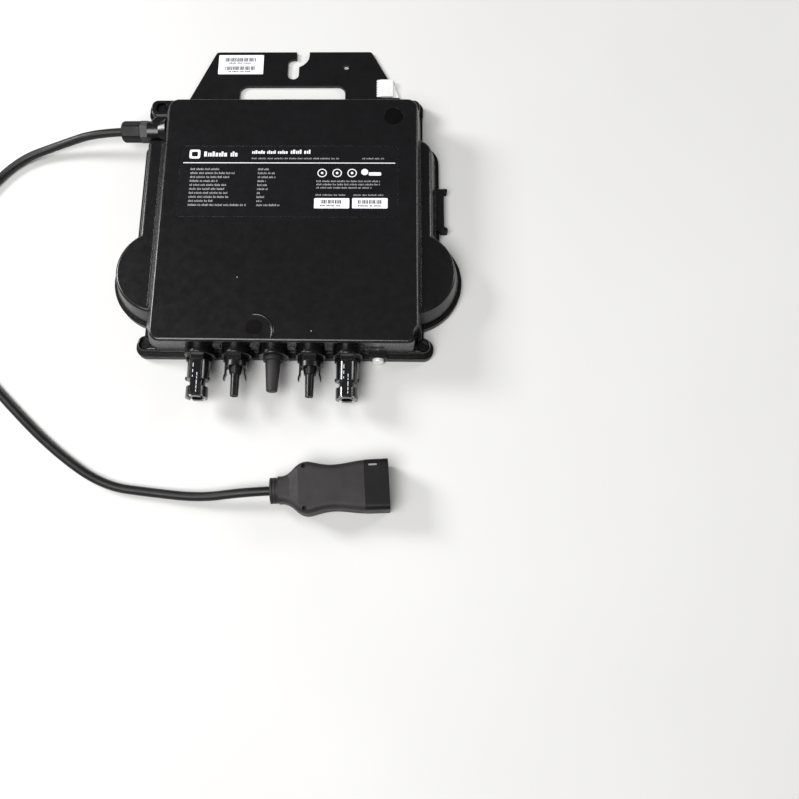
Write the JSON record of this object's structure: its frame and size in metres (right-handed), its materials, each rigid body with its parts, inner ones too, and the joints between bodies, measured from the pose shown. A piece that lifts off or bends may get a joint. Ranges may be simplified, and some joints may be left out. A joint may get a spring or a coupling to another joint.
{
  "type": "micro inverter",
  "caption": "Flat micro inverter with side lobes, hanging bracket, a row of DC fittings and an AC lead with its connector.",
  "frame": {"origin": "middle of the back face of the back plate, between the two side lobes", "axes": "+Z out of the front face, +Y towards the hanging bracket, +X towards the side with the edge clip"},
  "size_m": [0.392, 0.3851, 0.0399],
  "materials": {
    "black_cast": "black powder-coated cast plate",
    "black_cover": "fine-grained black moulding",
    "black_sheet": "black painted sheet steel",
    "gasket": "soft black rubber",
    "steel": "zinc-plated steel",
    "label": "printed black film with plain pale bars",
    "white_label": "white film with plain dark bars",
    "black_gloss": "shiny black moulding",
    "black_nylon": "black nylon moulding",
    "grey_nylon": "dark grey nylon moulding",
    "lens": "smoked lens",
    "lead_jacket": "black cable jacket",
    "grey_rubber": "dark grey-brown rubbery moulding",
    "contact": "tin-plated copper alloy",
    "pale_latch": "pale latch tooth",
    "board": "green circuit board",
    "ferrite": "dark ferrite",
    "winding": "enamelled copper",
    "component": "component body",
    "capacitor": "sleeved capacitor can",
    "resin": "dark potting resin",
    "pad": "grey thermal pad",
    "wire": "insulated wire"
  },
  "bodies": {
    "housing": {"back_plate": "black_cast", "cover": "black_cover", "cover_gasket": "gasket", "bracket": "black_sheet", "bracket_screws": "steel", "cover_screws": "black_cast", "earthing_clip": "steel", "earthing_screw": "steel", "rating_label": "label", "serial_label": "white_label", "side_clip": "black_nylon", "vent_plug": "gasket", "status_lens": "lens", "gland_body": "grey_nylon", "gland_nut": "black_nylon", "gland_seal": "gasket", "ac_lead": "lead_jacket", "plug_collar": "grey_rubber", "plug_body": "grey_rubber", "plug_screws": "black_cast", "plug_shroud": "black_nylon", "plug_core": "black_nylon", "plug_contacts": "contact", "plug_seal": "gasket", "plug_latches": "pale_latch", "antenna_boot": "grey_rubber", "antenna": "contact", "wall_nuts": "black_nylon", "circuit_board": "board", "board_standoffs": "contact", "thermal_pads": "pad", "input_capacitors": "capacitor", "film_capacitors": "component", "power_transistors": "component", "relays": "component", "radio_board": "board", "light_pipe": "lens", "dc_wires": "wire", "ac_wires": "wire", "potting": "resin", "dc_shell_left": "black_gloss", "dc_pin_left": "contact", "dc_probe_left": "black_gloss", "dc_contact_left": "contact", "transformer_core_left": "ferrite", "transformer_winding_left": "winding", "ring_choke_left": "winding", "dc_shell_right": "black_gloss", "dc_pin_right": "contact", "dc_probe_right": "black_gloss", "dc_contact_right": "contact", "transformer_core_right": "ferrite", "transformer_winding_right": "winding", "ring_choke_right": "winding"},
    "finger_left_a": {"finger_left_a": "black_gloss"},
    "finger_left_b": {"finger_left_b": "black_gloss"},
    "finger_right_a": {"finger_right_a": "black_gloss"},
    "finger_right_b": {"finger_right_b": "black_gloss"}
  },
  "joints": [
    {"name": "finger_left_a_flex", "type": "hinge", "parent": "housing", "child": "finger_left_a", "pos_m": [-0.03975, -0.1086, 0.019], "axis": [0, 0, 1], "range_deg": [0, 6], "stiffness_Nm_per_rad": 0.05},
    {"name": "finger_left_b_flex", "type": "hinge", "parent": "housing", "child": "finger_left_b", "pos_m": [-0.02575, -0.1086, 0.019], "axis": [0, 0, -1], "range_deg": [0, 6], "stiffness_Nm_per_rad": 0.05},
    {"name": "finger_right_a_flex", "type": "hinge", "parent": "housing", "child": "finger_right_a", "pos_m": [0.01375, -0.1086, 0.019], "axis": [0, 0, 1], "range_deg": [0, 6], "stiffness_Nm_per_rad": 0.05},
    {"name": "finger_right_b_flex", "type": "hinge", "parent": "housing", "child": "finger_right_b", "pos_m": [0.02775, -0.1086, 0.019], "axis": [0, 0, -1], "range_deg": [0, 6], "stiffness_Nm_per_rad": 0.05}
  ]
}
